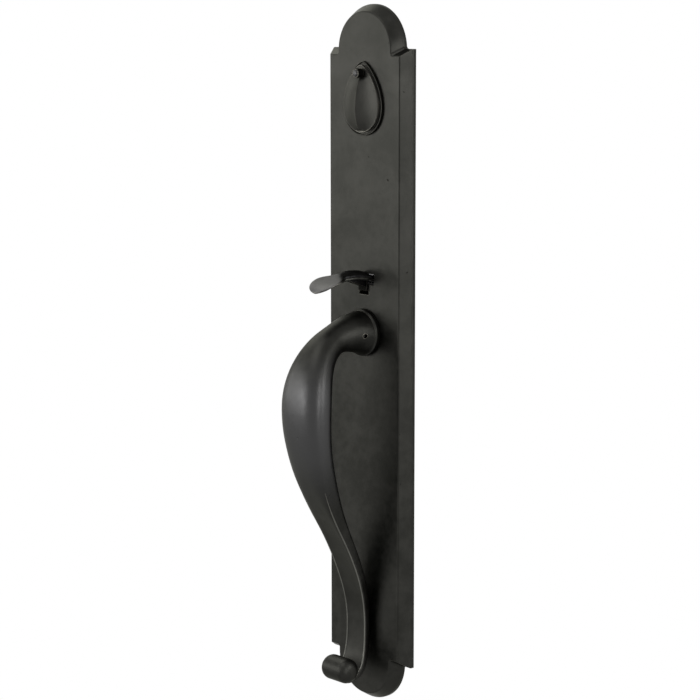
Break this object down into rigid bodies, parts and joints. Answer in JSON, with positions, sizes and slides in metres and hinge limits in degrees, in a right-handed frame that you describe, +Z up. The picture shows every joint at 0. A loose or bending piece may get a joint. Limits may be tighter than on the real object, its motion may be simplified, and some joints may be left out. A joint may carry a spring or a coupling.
{
  "type": "entry door handleset",
  "caption": "Long arched entry door handleset in dark cast bronze: teardrop keyway cover, thumb lever and a deep swept pull ending in a scroll.",
  "frame": {"origin": "middle of the back plate's length and width, on the plane of its back that lies on the door", "axes": "+X to the right seen from outside, +Y into the door, +Z up"},
  "size_m": [0.0888, 0.1239, 0.5526],
  "materials": {
    "dark_bronze_casting": "sand-cast bronze with a near-black satin patina",
    "dark_screw": "blackened steel",
    "yellow_brass": "machined, bare",
    "bright_steel": "zinc plated or bare"
  },
  "bodies": {
    "root": {"back_plate": "dark_bronze_casting", "drop_rose": "dark_bronze_casting", "cover_pivot_pin": "dark_screw", "cover_washer": "yellow_brass", "cylinder_body": "yellow_brass", "cylinder_ring_nut": "yellow_brass", "thumb_pivot_pin": "bright_steel", "thumb_bracket": "bright_steel", "upper_bracket_spacer": "bright_steel", "lower_bracket_spacer": "bright_steel", "upper_bracket_screw": "bright_steel", "lower_bracket_screw": "bright_steel", "cam_keeper": "bright_steel", "thumb_return_spring": "bright_steel", "grip_handle": "dark_bronze_casting", "grip_stud": "bright_steel", "grip_stud_washer": "bright_steel", "grip_stud_nut": "bright_steel", "grip_set_screw": "dark_screw", "foot_screw": "bright_steel", "foot_washer": "bright_steel", "upper_mounting_post": "bright_steel", "lower_mounting_post": "bright_steel"},
    "cover": {"keyway_cover": "dark_bronze_casting"},
    "key_plug": {"cylinder_plug": "yellow_brass", "plug_retainer": "bright_steel", "cylinder_tailpiece": "bright_steel"},
    "lever": {"thumbpiece": "dark_bronze_casting"},
    "cam": {"lift_cam": "yellow_brass", "latch_spindle": "bright_steel", "spindle_pin": "bright_steel"}
  },
  "joints": [
    {"name": "cover_swing", "type": "hinge", "parent": "root", "child": "cover", "pos_m": [0, -0.0157, 0.2239], "axis": [0, -1, 0], "range_deg": [-180, 180]},
    {"name": "thumb_press", "type": "hinge", "parent": "root", "child": "lever", "pos_m": [0, -0.0052, 0.064], "axis": [1, 0, 0], "range_deg": [0, 20], "stiffness_Nm_per_rad": 0.5, "springref_deg": -20.05},
    {"name": "cam_turn", "type": "hinge", "parent": "root", "child": "cam", "pos_m": [0, 0, 0.0543], "axis": [0, -1, 0], "range_deg": [0, 33.5], "deforming": ["thumb_return_spring"]},
    {"name": "key_turn", "type": "hinge", "parent": "root", "child": "key_plug", "pos_m": [0, 0, 0.194], "axis": [0, 1, 0], "range_deg": [-90, 90]}
  ],
  "couplings": [
    {"joint": "cam_turn", "follows": "thumb_press", "ratio": 1.65}
  ]
}
